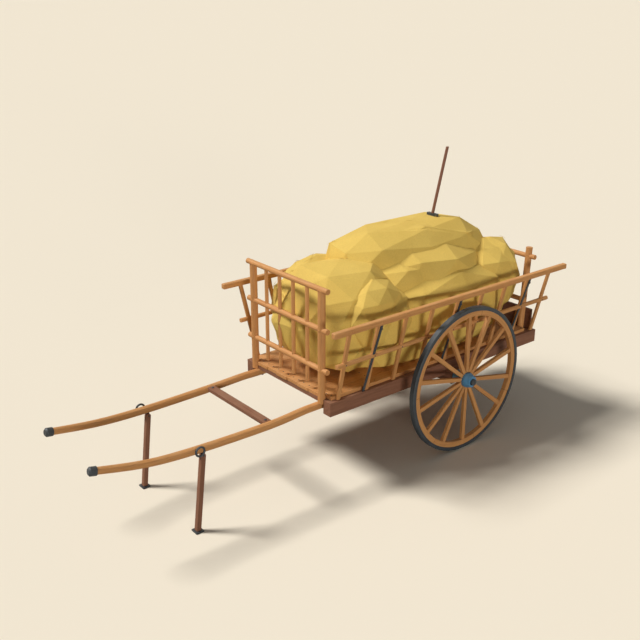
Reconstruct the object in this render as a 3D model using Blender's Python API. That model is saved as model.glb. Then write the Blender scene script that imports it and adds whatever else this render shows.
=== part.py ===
# Two-wheeled hay cart with shafts, prop legs, side racks, gates and a heaped load of hay.
# Metres, +Z up. The shafts point to -Y, +X is the cart's left side, the axle lies along X.
# Lengths along Y are measured from a datum line across the bed. A rise is a height above the sill tops.
import math
import random

import bmesh
import bpy
from mathutils import Matrix, Vector

seat_gap = 0.0003
cut_margin = 0.02

# Wheels and axle
wheel_radius = 0.742
axle_y = 0.0195
tyre_depth = 0.037
tyre_width = 0.057
tyre_edge = 0.004
half_track = 0.867
felloe_depth = 0.052
felloe_width = 0.045
spoke_count = 14
spoke_root_width = 0.0345
spoke_tip_width = 0.043
spoke_thickness = 0.034
spoke_tip_thickness = 0.032
spoke_shoulder = 0.004
spoke_neck = 0.002
tenon_depth = 0.024
tenon_width = 0.018
tenon_thickness = 0.018
nave_radius = 0.074
nave_end_radius = 0.056
nave_inboard = 0.125
nave_outboard = 0.088
nave_belly_inboard = 0.045
nave_belly_outboard = 0.036
axle_arm_radius = 0.028
bore_clearance = 0.0006
arm_root_depth = 0.100
nut_radius = 0.036
nut_face_radius = 0.032
nut_length = 0.022
axle_end_play = 0.003
axle_bed_width = 0.120
axle_bed_height = 0.120
axle_bed_drop = 0.020

# Bed frame
sill_outer = 0.646
sill_width = 0.0995
sill_height = 0.134
sill_top_over_axle = 0.123
sill_top = wheel_radius + sill_top_over_axle
bed_front = -1.517
bed_rear = 1.361
cross_beam_height = 0.043
cross_beam_width = 0.090
bearer_width = 0.080
front_bearer_y = -0.960
rear_bearer_y = 0.620

# Floor boards
board_thickness = 0.032
board_gap = 0.003
board_to_post = 0.006
board_to_slat = 0.004
inner_board_count = 6
board_end_steps = (0.0, 0.007, -0.004, 0.006, 0.001, 0.008)

# Gates
post_radius = 0.035
post_foot_lift = 0.0015
front_gate_y = -1.509
front_post_rise = 1.035
gate_rail_radius = 0.026
gate_overhang = 0.052
front_rail_rises = (0.283, 0.665, 1.035)
spindle_xs = (-0.303, -0.098, 0.104, 0.308)
spindle_radius = 0.018
spindle_foot_rise = 0.107
rear_gate_y = 1.268
rear_gate_lean = 0.044
rear_post_rise = 0.900
rear_rail_rises = (0.322, 0.807)
tail_board_thickness = 0.028
tail_board_rise = 0.223

# Side racks, leaning outwards
rack_foot_x = 0.625
rack_to_tyre = 0.0356
rack_lean = (half_track - tyre_width / 2.0 - rack_to_tyre - rack_foot_x) / (2.0 * wheel_radius - sill_top)
top_rail_rise = 0.7395
top_rail_size = 0.052
top_rail_chamfer = 0.006
top_rail_front = -1.651
top_rail_rear = 1.500
low_rail_rise = 0.3867
low_rail_radius = 0.022
low_rail_front = -1.524
low_rail_rear = 1.374
slat_count = 9
slat_first_y = -1.404
slat_spacing = 0.339
slat_rake = 0.052
slat_width = 0.038
slat_thickness = 0.022
slat_inset = 0.010
stay_slats = (1, 4, 7)
stay_width = 0.026
stay_thickness = 0.008
stay_gap = 0.001
stay_foot_ahead = 0.050
stay_top_behind = 0.030

# Shafts, bolted up under the front beam and the front bearer
shaft_sides = 12
shaft_steps = 4
shaft_root_radius = 0.037
shaft_flat = math.cos(math.pi / shaft_sides)
shaft_root_height = sill_top - cross_beam_height - seat_gap - shaft_root_radius * shaft_flat
# Distance along Y, distance out from the middle, height, radius
shaft_stations = (
    (front_bearer_y + bearer_width, 0.470, shaft_root_height, shaft_root_radius),
    (-1.540, 0.474, shaft_root_height, shaft_root_radius),
    (-1.700, 0.478, shaft_root_height, shaft_root_radius),
    (-2.080, 0.483, shaft_root_height - 0.017, 0.037),
    (-2.785, 0.463, shaft_root_height - 0.014, 0.036),
    (-3.250, 0.444, shaft_root_height + 0.015, 0.034),
    (-3.692, 0.407, shaft_root_height + 0.092, 0.031),
)
cope_clearance = 0.0006
cap_clearance = 0.0015
cap_wall = 0.006
cap_socket = 0.035
cap_nose = 0.030
cap_nose_round = 0.012
cap_vent = 0.001
cross_bar_y = -2.070
cross_bar_lift = 0.011
cross_bar_width = 0.078
cross_bar_thickness = 0.034
ring_y = -2.790
ring_radius = 0.0405
ring_bar_radius = 0.0095
ring_lift = 0.001

# Prop legs
leg_behind_ring = 0.046
leg_pivot_y = ring_y + leg_behind_ring
leg_size = 0.042
leg_head_gap = 0.006
leg_foot_ahead = 0.085
leg_slot_depth = 0.045
tongue_thickness = 0.010
tongue_clearance = 0.001
tongue_reach = 0.015
tongue_bite = 0.006
pin_radius = 0.006
pin_overhang = 0.004
foot_width = 0.082
foot_length = 0.076
foot_thickness = 0.014

# Hay heap, pitched up forkful by forkful
# X, distance along Y, rise of the middle, then half length along X, Y and Z, turn about Z in degrees
hay_lumps = (
    (0.000, -0.040, 0.340, 0.600, 1.150, 0.480, 0.0),
    (0.040, -0.900, 0.550, 0.560, 0.640, 0.530, 14.0),
    (-0.040, 0.060, 0.915, 0.440, 0.980, 0.380, -6.0),
    (0.020, 0.100, 0.740, 0.500, 0.900, 0.360, 4.0),
    (0.290, 0.835, 0.640, 0.360, 0.375, 0.400, 20.0),
    (-0.400, -0.850, 0.650, 0.250, 0.380, 0.360, 8.0),
    (0.400, 0.200, 0.480, 0.300, 0.820, 0.430, -3.0),
    (0.430, -0.840, 0.620, 0.250, 0.360, 0.340, 18.0),
    (-0.340, 0.700, 0.560, 0.360, 0.480, 0.440, -15.0),
    (-0.400, 0.000, 0.500, 0.300, 0.820, 0.430, 6.0),
)
hay_squareness = 0.82
hay_roughness = 0.06
hay_seed = 5
hay_clearance = 0.002
fork_x = -0.065
fork_y = 0.428
fork_foot_rise = 1.279
fork_length = 0.704
fork_lean_x = 0.108
fork_lean_y = 0.130
fork_handle_radius = 0.016
fork_tip_radius = 0.0155
fork_head_width = 0.134
fork_head_size = 0.034

light_wood_color = (0.50, 0.20, 0.07, 1.0)
dark_wood_color = (0.17, 0.066, 0.037, 1.0)
iron_color = (0.035, 0.045, 0.052, 1.0)
hub_blue_color = (0.055, 0.17, 0.29, 1.0)
hay_color = (0.72, 0.48, 0.10, 1.0)
handle_wood_color = (0.20, 0.07, 0.03, 1.0)

for old_object in list(bpy.data.objects):
    bpy.data.objects.remove(old_object)


def make_material(name, color, roughness, metallic):
    material = bpy.data.materials.new(name)
    material.use_nodes = True
    shader = material.node_tree.nodes["Principled BSDF"]
    shader.inputs["Base Color"].default_value = color
    shader.inputs["Roughness"].default_value = roughness
    shader.inputs["Metallic"].default_value = metallic
    return material


light_wood = make_material("light_wood", light_wood_color, 0.7, 0.0)
dark_wood = make_material("dark_wood", dark_wood_color, 0.75, 0.0)
iron = make_material("iron", iron_color, 0.6, 0.3)
hub_blue = make_material("hub_blue", hub_blue_color, 0.5, 0.0)
hay_straw = make_material("hay_straw", hay_color, 0.9, 0.0)
handle_wood = make_material("handle_wood", handle_wood_color, 0.6, 0.0)


def add_empty(name, location, parent=None):
    empty = bpy.data.objects.new(name, None)
    empty.location = location
    empty.parent = parent
    bpy.context.scene.collection.objects.link(empty)
    return empty


cart = add_empty("cart_frame", (0.0, 0.0, 0.0))


def add_object(name, mesh_builder, material, parent=cart, location=(0.0, 0.0, 0.0), smooth=False):
    """Turn a finished bmesh into one named object."""
    bmesh.ops.recalc_face_normals(mesh_builder, faces=mesh_builder.faces)
    mesh = bpy.data.meshes.new(name)
    mesh_builder.to_mesh(mesh)
    mesh_builder.free()
    if smooth:
        mesh.shade_smooth()
        mesh.set_sharp_from_angle(angle=math.radians(35.0))
    item = bpy.data.objects.new(name, mesh)
    item.data.materials.append(material)
    item.location = location
    item.parent = parent
    bpy.context.scene.collection.objects.link(item)
    return item


def make_guide(item):
    item.hide_render = True
    item.display_type = "WIRE"
    return item


def combine(item, guide, operation):
    modifier = item.modifiers.new(guide.name, "BOOLEAN")
    modifier.operation = operation
    modifier.object = make_guide(guide)
    modifier.solver = "EXACT"


def soften(item, width):
    modifier = item.modifiers.new("edge_round", "BEVEL")
    modifier.width = width
    modifier.segments = 1
    modifier.limit_method = "ANGLE"
    modifier.angle_limit = math.radians(50.0)


def box_into(builder, low, high):
    middle = (Vector(low) + Vector(high)) / 2.0
    size = Vector(high) - Vector(low)
    matrix = Matrix.Translation(middle) @ Matrix.Diagonal((size.x, size.y, size.z, 1.0))
    bmesh.ops.create_cube(builder, size=1.0, matrix=matrix)


def skin_rings(builder, rings):
    """Close a row of equal rings of points into one solid."""
    loops = [[builder.verts.new(point) for point in ring] for ring in rings]
    count = len(loops[0])
    for near, far in zip(loops, loops[1:]):
        for i in range(count):
            j = (i + 1) % count
            builder.faces.new((near[i], near[j], far[j], far[i]))
    builder.faces.new(list(reversed(loops[0])))
    builder.faces.new(loops[-1])


def rod_into(builder, start, end, start_radius, end_radius, sides, turn=0.0):
    start = Vector(start)
    end = Vector(end)
    rotation = (end - start).to_track_quat("Z", "Y").to_matrix()
    rings = []
    for centre, radius in ((start, start_radius), (end, end_radius)):
        ring = []
        for i in range(sides):
            angle = turn + 2.0 * math.pi * i / sides
            offset = Vector((radius * math.cos(angle), radius * math.sin(angle), 0.0))
            ring.append(centre + rotation @ offset)
        rings.append(ring)
    skin_rings(builder, rings)


def lathe_into(builder, profile, sides, closed):
    """Turn (distance along X, radius) points about the X axis."""
    rings = []
    for along, radius in profile:
        ring = []
        for i in range(sides):
            angle = 2.0 * math.pi * i / sides
            ring.append((along, radius * math.cos(angle), radius * math.sin(angle)))
        rings.append(ring)
    if not closed:
        skin_rings(builder, rings)
        return
    loops = [[builder.verts.new(point) for point in ring] for ring in rings]
    for k, near in enumerate(loops):
        far = loops[(k + 1) % len(loops)]
        for i in range(sides):
            j = (i + 1) % sides
            builder.faces.new((near[i], near[j], far[j], far[i]))


def shaft_point(along):
    """Smooth curve through the shaft stations, given as a station number with a fraction."""
    last = len(shaft_stations) - 1
    first = min(int(along), last - 1)
    t = along - first
    picks = [shaft_stations[max(0, min(last, first + k))] for k in (-1, 0, 1, 2)]
    values = []
    for a, b, c, d in zip(*picks):
        values.append(b + 0.5 * t * (c - a + t * (2 * a - 5 * b + 4 * c - d + t * (3 * (b - c) + d - a))))
    return values


def shaft_at(y):
    """Centre, outward distance, height and radius of a shaft where it crosses a given y."""
    low, high = 0.0, float(len(shaft_stations) - 1)
    for _ in range(50):
        middle = (low + high) / 2.0
        if shaft_point(middle)[0] > y:
            low = middle
        else:
            high = middle
    return shaft_point(low)


def shaft_rings(side, extra=0.0):
    rings = []
    total = (len(shaft_stations) - 1) * shaft_steps
    stations = [shaft_point(k / shaft_steps) for k in range(total + 1)]
    for k, (y, x, z, radius) in enumerate(stations):
        before = stations[max(0, k - 1)]
        after = stations[min(total, k + 1)]
        ahead = Vector((side * (after[1] - before[1]), after[0] - before[0], after[2] - before[2]))
        across = ahead.cross(Vector((0.0, 0.0, 1.0))).normalized()
        upward = across.cross(ahead).normalized()
        ring = []
        for i in range(shaft_sides):
            angle = 2.0 * math.pi * (i + 0.5) / shaft_sides
            offset = (across * math.cos(angle) + upward * math.sin(angle)) * (radius + extra)
            ring.append(Vector((side * x, y, z)) + offset)
        rings.append(ring)
    return rings


def rack_x(z):
    """The racks' leaning middle plane."""
    return rack_foot_x + rack_lean * (z - sill_top)


def rear_post_y(z):
    """The rear gate leans back a little."""
    return rear_gate_y + rear_gate_lean * (z - sill_top) / rear_post_rise


hub_height = wheel_radius
floor_top = sill_top + seat_gap + board_thickness
beam_bottom = sill_top - cross_beam_height
sill_inner = sill_outer - sill_width
post_x = sill_inner - seat_gap - post_radius
gate_reach = post_x + post_radius + gate_overhang
floor_half_width = rack_foot_x - slat_inset - slat_thickness / 2.0 - board_to_slat
sides = (("left", 1.0), ("right", -1.0))


def build_bed():
    """Sills, cross beams and the axle bed let into the sills from below."""
    bed_top = hub_height + axle_bed_height / 2.0 - axle_bed_drop
    bed_low = bed_top - axle_bed_height
    for side_name, side in sides:
        builder = bmesh.new()
        x_pair = sorted((side * sill_inner, side * sill_outer))
        box_into(builder, (x_pair[0], bed_front, sill_top - sill_height), (x_pair[1], bed_rear, sill_top))
        sill = add_object("sill_" + side_name, builder, dark_wood)
        notch = bmesh.new()
        half = axle_bed_width / 2.0 + seat_gap
        box_into(notch, (x_pair[0] - cut_margin, axle_y - half, bed_low - cut_margin),
                 (x_pair[1] + cut_margin, axle_y + half, bed_top + seat_gap))
        combine(sill, add_object("notch_" + side_name, notch, dark_wood), "DIFFERENCE")
    builder = bmesh.new()
    shoulder = half_track - nave_inboard - axle_end_play
    half = axle_bed_width / 2.0
    box_into(builder, (-shoulder, axle_y - half, bed_low), (shoulder, axle_y + half, bed_top))
    bed = add_object("axle_bed", builder, dark_wood)
    arm_root = sill_outer - arm_root_depth
    arm_end = half_track + nave_outboard + axle_end_play
    for side_name, side in sides:
        socket = bmesh.new()
        clearance_radius = axle_arm_radius + seat_gap
        rod_into(socket, (side * (arm_root - seat_gap), axle_y, hub_height),
                 (side * arm_end, axle_y, hub_height), clearance_radius, clearance_radius, 24)
        combine(bed, add_object("arm_socket_" + side_name, socket, dark_wood), "DIFFERENCE")
        arm = bmesh.new()
        rod_into(arm, (side * arm_root, axle_y, hub_height), (side * arm_end, axle_y, hub_height),
                 axle_arm_radius, axle_arm_radius, 24)
        add_object("axle_arm_" + side_name, arm, iron, smooth=True)
        nut = bmesh.new()
        nut_start = arm_end + seat_gap
        rod_into(nut, (side * nut_start, axle_y, hub_height),
                 (side * (nut_start + nut_length), axle_y, hub_height), nut_radius, nut_face_radius, 8)
        add_object("axle_nut_" + side_name, nut, iron)
    reach = sill_inner - seat_gap
    low = beam_bottom
    notch_radius = post_radius + seat_gap
    front = bmesh.new()
    box_into(front, (-reach, front_gate_y, low), (reach, front_gate_y + cross_beam_width, sill_top))
    front_beam = add_object("front_beam", front, dark_wood)
    holes = bmesh.new()
    for _, side in sides:
        rod_into(holes, (side * post_x, front_gate_y, low - cut_margin),
                 (side * post_x, front_gate_y, sill_top + cut_margin), notch_radius, notch_radius, 16)
    combine(front_beam, add_object("post_notches", holes, dark_wood), "DIFFERENCE")
    rear = bmesh.new()
    box_into(rear, (-reach, bed_rear - cross_beam_width, low), (reach, bed_rear, sill_top))
    rear_beam = add_object("rear_beam", rear, dark_wood)
    holes = bmesh.new()
    for _, side in sides:
        rod_into(holes, (side * post_x, rear_post_y(low - cut_margin), low - cut_margin),
                 (side * post_x, rear_post_y(sill_top + cut_margin), sill_top + cut_margin),
                 notch_radius, notch_radius, 16)
    combine(rear_beam, add_object("rear_post_notches", holes, dark_wood), "DIFFERENCE")
    for name, start in (("front_bearer", front_bearer_y), ("rear_bearer", rear_bearer_y)):
        beam = bmesh.new()
        box_into(beam, (-reach, start, low), (reach, start + bearer_width, sill_top))
        add_object(name, beam, dark_wood)


def build_floor():
    """Six boards between the posts and one outside them on each side."""
    bottom = sill_top + seat_gap
    inner_edge = post_x - post_radius - seat_gap
    pitch = 2.0 * inner_edge / inner_board_count
    rear_end = rear_gate_y - post_radius - board_to_post
    for k in range(inner_board_count):
        low_x = -inner_edge + k * pitch
        builder = bmesh.new()
        box_into(builder, (low_x, bed_front + board_end_steps[k], bottom),
                 (low_x + pitch - board_gap, rear_end, floor_top))
        add_object("floor_board_%d" % (k + 2), builder, light_wood)
    outer_front = front_gate_y + post_radius + board_to_post
    for number, side in ((1, -1.0), (inner_board_count + 2, 1.0)):
        pair = sorted((side * (inner_edge + board_gap), side * floor_half_width))
        builder = bmesh.new()
        box_into(builder, (pair[0], outer_front, bottom), (pair[1], rear_end, floor_top))
        add_object("floor_board_%d" % number, builder, light_wood)


def front_gate_rods():
    """Posts, rails and spindles, each rod as start, end, radius and number of sides."""
    foot = beam_bottom + post_foot_lift
    top = sill_top + front_post_rise
    y = front_gate_y
    posts = [((side * post_x, y, foot), (side * post_x, y, top), post_radius, 16) for _, side in sides]
    heights = [sill_top + rise for rise in front_rail_rises]
    rails = [((-gate_reach, y, z), (gate_reach, y, z), gate_rail_radius, 12) for z in heights]
    low = sill_top + spindle_foot_rise
    spindles = [((x, y, low), (x, y, heights[-1]), spindle_radius, 8) for x in spindle_xs]
    return {"posts": posts, "rails": rails, "spindles": spindles}


def rear_gate_rods():
    """Leaning posts and two rails, the lower one between the posts."""
    foot = beam_bottom
    top = sill_top + rear_post_rise
    posts = [((side * post_x, rear_post_y(foot), foot), (side * post_x, rear_post_y(top), top), post_radius, 16)
             for _, side in sides]
    rails = []
    for rise, reach in zip(rear_rail_rises, (post_x, gate_reach)):
        z = sill_top + rise
        rails.append(((-reach, rear_post_y(z), z), (reach, rear_post_y(z), z), gate_rail_radius, 12))
    return {"posts": posts, "rails": rails}


def add_rods(name, rods, material, extra=0.0, smooth=False):
    builder = bmesh.new()
    for start, end, radius, count in rods:
        rod_into(builder, start, end, radius + extra, radius + extra, count)
    return add_object(name, builder, material, smooth=smooth)


def build_gates():
    for name, groups in (("front_gate", front_gate_rods()), ("rear_gate", rear_gate_rods())):
        gate = add_rods(name, groups["posts"], light_wood, smooth=True)
        for group_name, rods in groups.items():
            if group_name != "posts":
                combine(gate, add_rods(name + "_" + group_name, rods, light_wood), "UNION")
    board = bmesh.new()
    board_top = sill_top + tail_board_rise
    board_front = rear_post_y(board_top) + post_radius + seat_gap
    box_into(board, (-gate_reach, board_front, sill_top + seat_gap),
             (gate_reach, board_front + tail_board_thickness, board_top))
    add_object("tail_board", board, dark_wood)


top_rail_height = sill_top + top_rail_rise
low_rail_height = sill_top + low_rail_rise


def slat_frame(k, side):
    """Bottom and top middle points of slat k."""
    y = slat_first_y + k * slat_spacing
    low = sill_top + seat_gap
    bottom = Vector((side * (rack_x(low) - slat_inset), y, low))
    top = Vector((side * (rack_x(top_rail_height) - slat_inset), y - slat_rake, top_rail_height))
    return bottom, top


def slant_bar_into(builder, bottom, top, width, thickness):
    """A flat bar with level ends, width along Y and thickness along X."""
    rings = []
    for point in (bottom, top):
        corners = ((-1, -1), (1, -1), (1, 1), (-1, 1))
        rings.append([(point.x + u * thickness / 2.0, point.y + v * width / 2.0, point.z) for u, v in corners])
    skin_rings(builder, rings)


def stay_ends(k, side):
    bottom, top = slat_frame(k, side)
    out = slat_thickness / 2.0 + stay_thickness / 2.0 + stay_gap
    under = top_rail_height - top_rail_size / 2.0 - seat_gap
    start = Vector((bottom.x + side * out, bottom.y - stay_foot_ahead, bottom.z))
    end = Vector((side * (rack_x(under) - slat_inset + out), top.y + stay_top_behind, under))
    return start, end


def build_racks():
    for side_name, side in sides:
        x_top = side * rack_x(top_rail_height)
        half = top_rail_size / 2.0
        builder = bmesh.new()
        box_into(builder, (x_top - half, top_rail_front, top_rail_height - half),
                 (x_top + half, top_rail_rear, top_rail_height + half))
        rack = add_object("side_rack_" + side_name, builder, light_wood)
        soften(rack, top_rail_chamfer)
        slats = bmesh.new()
        for k in range(slat_count):
            bottom, top = slat_frame(k, side)
            slant_bar_into(slats, bottom, top, slat_width, slat_thickness)
        combine(rack, add_object("slats_" + side_name, slats, light_wood), "UNION")
        x_low = side * rack_x(low_rail_height)
        rail = bmesh.new()
        rod_into(rail, (x_low, low_rail_front, low_rail_height), (x_low, low_rail_rear, low_rail_height),
                 low_rail_radius, low_rail_radius, 10)
        combine(rack, add_object("low_rail_" + side_name, rail, light_wood), "UNION")
        slots = bmesh.new()
        for k in stay_slats:
            start, end = stay_ends(k, side)
            slant_bar_into(slots, start, end, stay_width + 2 * seat_gap, stay_thickness + 2 * seat_gap)
        combine(rack, add_object("stay_slots_" + side_name, slots, light_wood), "DIFFERENCE")
        for number, k in enumerate(stay_slats):
            start, end = stay_ends(k, side)
            builder = bmesh.new()
            slant_bar_into(builder, start, end, stay_width, stay_thickness)
            add_object("stay_%s_%d" % (side_name, number + 1), builder, iron)


def build_shafts():
    for side_name, side in sides:
        builder = bmesh.new()
        skin_rings(builder, shaft_rings(side))
        add_object("shaft_" + side_name, builder, light_wood, smooth=True)
        last = len(shaft_stations) - 1
        end_y, end_x, end_z, end_radius = shaft_point(last)
        tip = Vector((side * end_x, end_y, end_z))
        back = shaft_point(last - 1.0 / shaft_steps)
        ahead = (tip - Vector((side * back[1], back[0], back[2]))).normalized()
        inner = end_radius + cap_clearance
        outer = inner + cap_wall
        profile = ((-cap_socket, inner), (-cap_socket, outer), (cap_nose - cap_nose_round, outer),
                   (cap_nose, outer - cap_nose_round), (cap_nose, cap_vent), (seat_gap, cap_vent), (seat_gap, inner))
        cap = bmesh.new()
        lathe_into(cap, profile, 16, True)
        bmesh.ops.remove_doubles(cap, verts=cap.verts, dist=0.0)
        turn = ahead.to_track_quat("X", "Z").to_matrix().to_4x4()
        bmesh.ops.transform(cap, matrix=Matrix.Translation(tip) @ turn, verts=cap.verts)
        add_object("shaft_cap_" + side_name, cap, iron, smooth=True)
    near = shaft_at(cross_bar_y)
    bar = bmesh.new()
    half = cross_bar_width / 2.0
    middle = near[2] + cross_bar_lift
    box_into(bar, (-near[1], cross_bar_y - half, middle - cross_bar_thickness / 2.0),
             (near[1], cross_bar_y + half, middle + cross_bar_thickness / 2.0))
    cross_bar = add_object("cross_bar", bar, dark_wood)
    for side_name, side in sides:
        cutter = bmesh.new()
        skin_rings(cutter, shaft_rings(side, cope_clearance))
        combine(cross_bar, add_object("cross_bar_cope_" + side_name, cutter, dark_wood), "DIFFERENCE")


def build_rings():
    beside = [shaft_at(ring_y + shift) for shift in (-ring_radius, 0.0, ring_radius)]
    shaft_outside = max(place[1] + place[3] * shaft_flat for place in beside)
    height = shaft_at(ring_y)[2] + ring_lift
    for side_name, side in sides:
        centre_x = side * (shaft_outside + ring_bar_radius + seat_gap)
        builder = bmesh.new()
        profile = []
        for i in range(8):
            angle = 2.0 * math.pi * i / 8
            profile.append((ring_bar_radius * math.cos(angle), ring_radius + ring_bar_radius * math.sin(angle)))
        lathe_into(builder, profile, 20, True)
        add_object("ring_" + side_name, builder, iron, location=(centre_x, ring_y, height), smooth=True)


def build_prop_legs():
    """Legs hinged on iron tongues under the shafts; they stand a little ahead of their pivots."""
    place = shaft_at(leg_pivot_y)
    half = leg_size / 2.0
    pivot_drop = half + leg_head_gap
    pivot_z = place[2] - place[3] - pivot_drop
    slot_half = tongue_thickness / 2.0 + tongue_clearance
    hole_radius = pin_radius + cope_clearance
    for side_name, side in sides:
        pivot_place = (side * place[1], leg_pivot_y, pivot_z)
        pivot = add_empty("leg_pivot_" + side_name, pivot_place, cart)
        foot_z = foot_thickness + seat_gap - pivot_z
        outline = [(-half - leg_foot_ahead, foot_z), (half - leg_foot_ahead, foot_z)]
        for i in range(9):
            angle = math.pi * i / 8
            outline.append((half * math.cos(angle), half * math.sin(angle)))
        builder = bmesh.new()
        skin_rings(builder, [[(u * half, y, z) for y, z in outline] for u in (-1.0, 1.0)])
        leg = add_object("prop_leg_" + side_name, builder, dark_wood, parent=pivot)
        slot = bmesh.new()
        box_into(slot, (-slot_half, -leg_size, -leg_slot_depth), (slot_half, leg_size, leg_size))
        combine(leg, add_object("leg_slot_" + side_name, slot, dark_wood, parent=pivot), "DIFFERENCE")
        hole = bmesh.new()
        rod_into(hole, (-leg_size, 0.0, 0.0), (leg_size, 0.0, 0.0), hole_radius, hole_radius, 16)
        combine(leg, add_object("leg_pin_hole_" + side_name, hole, dark_wood, parent=pivot), "DIFFERENCE")
        foot = bmesh.new()
        box_into(foot, (-foot_width / 2.0, -foot_length / 2.0 - leg_foot_ahead, -pivot_z),
                 (foot_width / 2.0, foot_length / 2.0 - leg_foot_ahead, foot_thickness - pivot_z))
        add_object("prop_foot_" + side_name, foot, iron, parent=pivot)
        build_tongue(side_name, side, pivot_place, pivot_drop + tongue_bite)


def build_tongue(side_name, side, pivot_place, top):
    """Iron eye and pin that a leg turns on, let into the shaft above it."""
    half = tongue_thickness / 2.0
    eye = bmesh.new()
    rod_into(eye, (-half, 0.0, 0.0), (half, 0.0, 0.0), tongue_reach, tongue_reach, 16)
    tongue = add_object("leg_tongue_" + side_name, eye, iron, location=pivot_place)
    plate = bmesh.new()
    box_into(plate, (-half, -tongue_reach, 0.0), (half, tongue_reach, top))
    pin = bmesh.new()
    pin_half = leg_size / 2.0 + pin_overhang
    rod_into(pin, (-pin_half, 0.0, 0.0), (pin_half, 0.0, 0.0), pin_radius, pin_radius, 16)
    for name, builder in (("tongue_plate_", plate), ("tongue_pin_", pin)):
        guide = add_object(name + side_name, builder, iron, location=pivot_place)
        combine(tongue, guide, "UNION")
    cutter = bmesh.new()
    skin_rings(cutter, shaft_rings(side, cope_clearance))
    combine(tongue, add_object("tongue_cope_" + side_name, cutter, iron), "DIFFERENCE")


def spoke_ring(radius, width, thickness):
    return [(u * thickness / 2.0, v * width / 2.0, radius) for u, v in ((-1, -1), (1, -1), (1, 1), (-1, 1))]


def build_wheels():
    for side_name, side in sides:
        hub = add_empty("wheel_hub_" + side_name, (side * half_track, axle_y, hub_height), cart)
        rim_outer = wheel_radius - tyre_depth
        half = tyre_width / 2.0
        tyre = bmesh.new()
        tread = half - tyre_edge
        lathe_into(tyre, ((-half, rim_outer), (-half, wheel_radius - tyre_edge), (-tread, wheel_radius),
                          (tread, wheel_radius), (half, wheel_radius - tyre_edge), (half, rim_outer)), 64, True)
        add_object("tyre_" + side_name, tyre, iron, parent=hub, smooth=True)
        felloe_outer = rim_outer - seat_gap
        felloe_inner = felloe_outer - felloe_depth
        half = felloe_width / 2.0
        felloe = bmesh.new()
        lathe_into(felloe, ((-half, felloe_inner), (-half, felloe_outer), (half, felloe_outer),
                            (half, felloe_inner)), 64, True)
        wheel = add_object("wheel_rim_" + side_name, felloe, light_wood, parent=hub, smooth=True)
        spokes = bmesh.new()
        sockets = bmesh.new()
        shoulder = nave_radius + spoke_shoulder
        for k in range(spoke_count):
            turn = Matrix.Rotation(2.0 * math.pi * k / spoke_count, 4, "X")
            rings = [spoke_ring(nave_radius - tenon_depth, tenon_width, tenon_thickness),
                     spoke_ring(shoulder, tenon_width, tenon_thickness),
                     spoke_ring(shoulder + spoke_neck, spoke_root_width, spoke_thickness),
                     spoke_ring(felloe_inner + felloe_depth / 2.0, spoke_tip_width, spoke_tip_thickness)]
            skin_rings(spokes, [[turn @ Vector(point) for point in ring] for ring in rings])
            wide = 2.0 * seat_gap
            rings = [spoke_ring(nave_radius - tenon_depth - seat_gap, tenon_width + wide, tenon_thickness + wide),
                     spoke_ring(nave_radius + cut_margin, tenon_width + wide, tenon_thickness + wide)]
            skin_rings(sockets, [[turn @ Vector(point) for point in ring] for ring in rings])
        combine(wheel, add_object("spokes_" + side_name, spokes, light_wood, parent=hub), "UNION")
        bore = axle_arm_radius + bore_clearance
        profile = ((-nave_inboard, bore), (-nave_inboard, nave_end_radius), (-nave_belly_inboard, nave_radius),
                   (nave_belly_outboard, nave_radius), (nave_outboard, nave_end_radius), (nave_outboard, bore))
        nave = bmesh.new()
        lathe_into(nave, [(side * along, radius) for along, radius in profile], 28, True)
        nave_item = add_object("nave_" + side_name, nave, hub_blue, parent=hub, smooth=True)
        combine(nave_item, add_object("spoke_mortises_" + side_name, sockets, hub_blue, parent=hub), "DIFFERENCE")


def lump_into(builder, lump, chance):
    """One forkful: a coarse ball squared off a little, with its corners pushed in and out."""
    x, y, rise, half_x, half_y, half_z, turn = lump
    ball = bmesh.ops.create_icosphere(builder, subdivisions=2, radius=1.0)
    facing = Matrix.Rotation(math.radians(turn), 3, "Z")
    middle = Vector((x, y, sill_top + rise))
    for corner in ball["verts"]:
        push = 1.0 + chance.uniform(-hay_roughness, hay_roughness)
        squared = [math.copysign(abs(value) ** hay_squareness, value) * push for value in corner.co]
        stretched = Vector((squared[0] * half_x, squared[1] * half_y, squared[2] * half_z))
        corner.co = middle + facing @ stretched


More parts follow.
